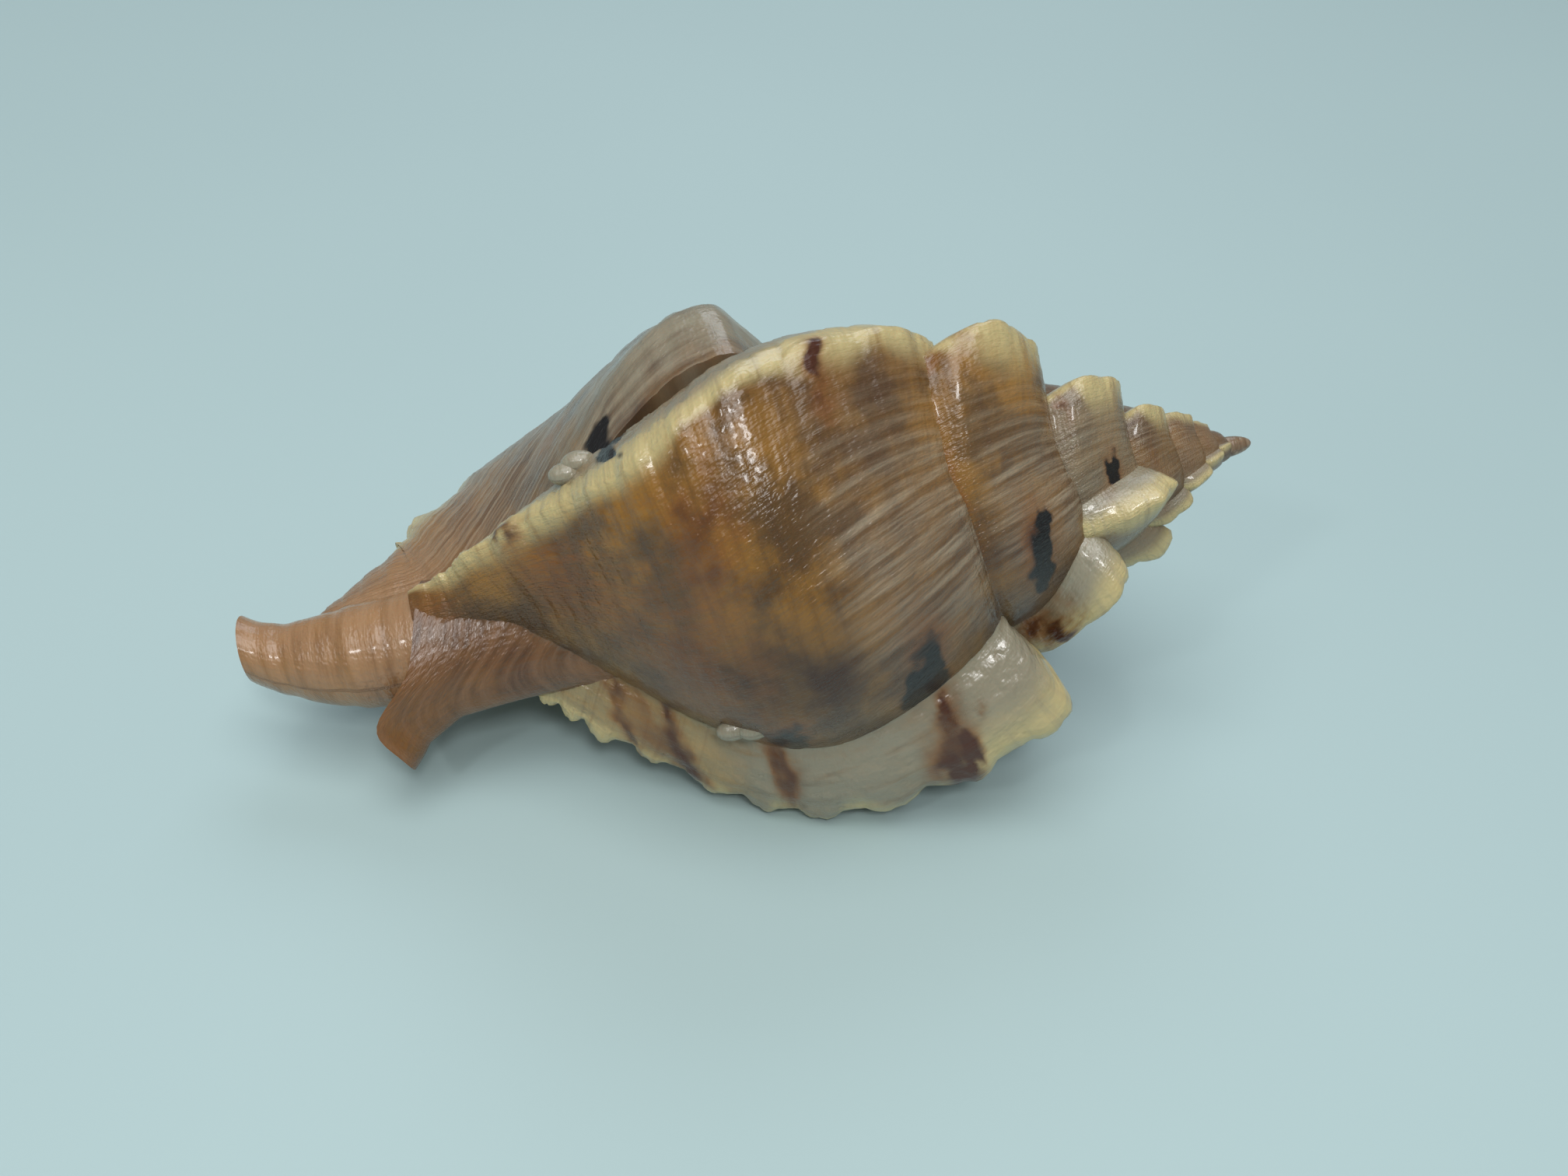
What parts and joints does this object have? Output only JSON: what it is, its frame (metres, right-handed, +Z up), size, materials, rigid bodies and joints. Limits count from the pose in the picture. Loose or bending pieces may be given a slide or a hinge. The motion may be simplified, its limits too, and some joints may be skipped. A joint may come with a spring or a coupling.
{
  "type": "murex shell",
  "caption": "Three-winged murex shell with a short spire, a long closed canal and flaring varices, lying on its underside.",
  "frame": {"origin": "middle of the footprint, on the surface that the shell rests on", "axes": "+X along the coiling axis towards the apex, +Z up, canal at -X"},
  "size_m": [0.059, 0.0326, 0.0284],
  "materials": {
    "shell": "glossy, worn shell with brown bands"
  },
  "bodies": {
    "root": {"shell": "shell"}
  },
  "joints": []
}
